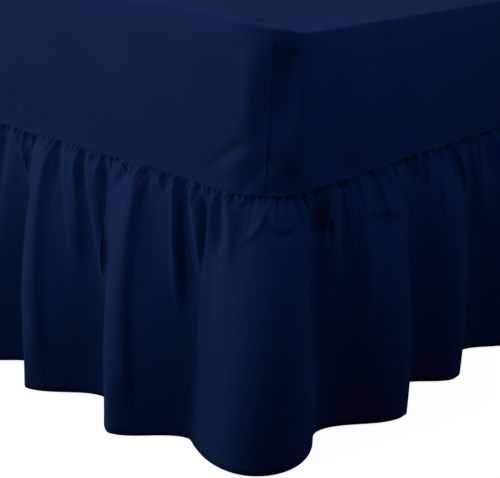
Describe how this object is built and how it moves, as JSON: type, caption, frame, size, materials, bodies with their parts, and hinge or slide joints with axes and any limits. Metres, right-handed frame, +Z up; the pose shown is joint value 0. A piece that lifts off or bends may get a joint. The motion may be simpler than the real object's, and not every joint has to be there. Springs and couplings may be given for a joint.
{
  "type": "frilled fitted sheet on a mattress and bed base",
  "caption": "Fitted sheet with sewn corners and a deep gathered frill hanging to the floor, on its plain mattress and bed base.",
  "frame": {"origin": "on the floor, under the middle of the part's box", "axes": "+Z up, +Y along the bed from the foot to the head, +X across it; the corner at +X, -Y is the one in the picture"},
  "size_m": [1.5648, 2.1182, 0.661],
  "materials": {
    "navy_cloth": "plain woven cotton blend, matt with a faint sheen",
    "ticking": "woven mattress cover, matt",
    "base_cloth": "plain upholstery cloth, matt"
  },
  "bodies": {
    "root": {"divan_base": "base_cloth", "mattress": "ticking", "fitted_panel": "navy_cloth", "frill": "navy_cloth"}
  },
  "joints": []
}
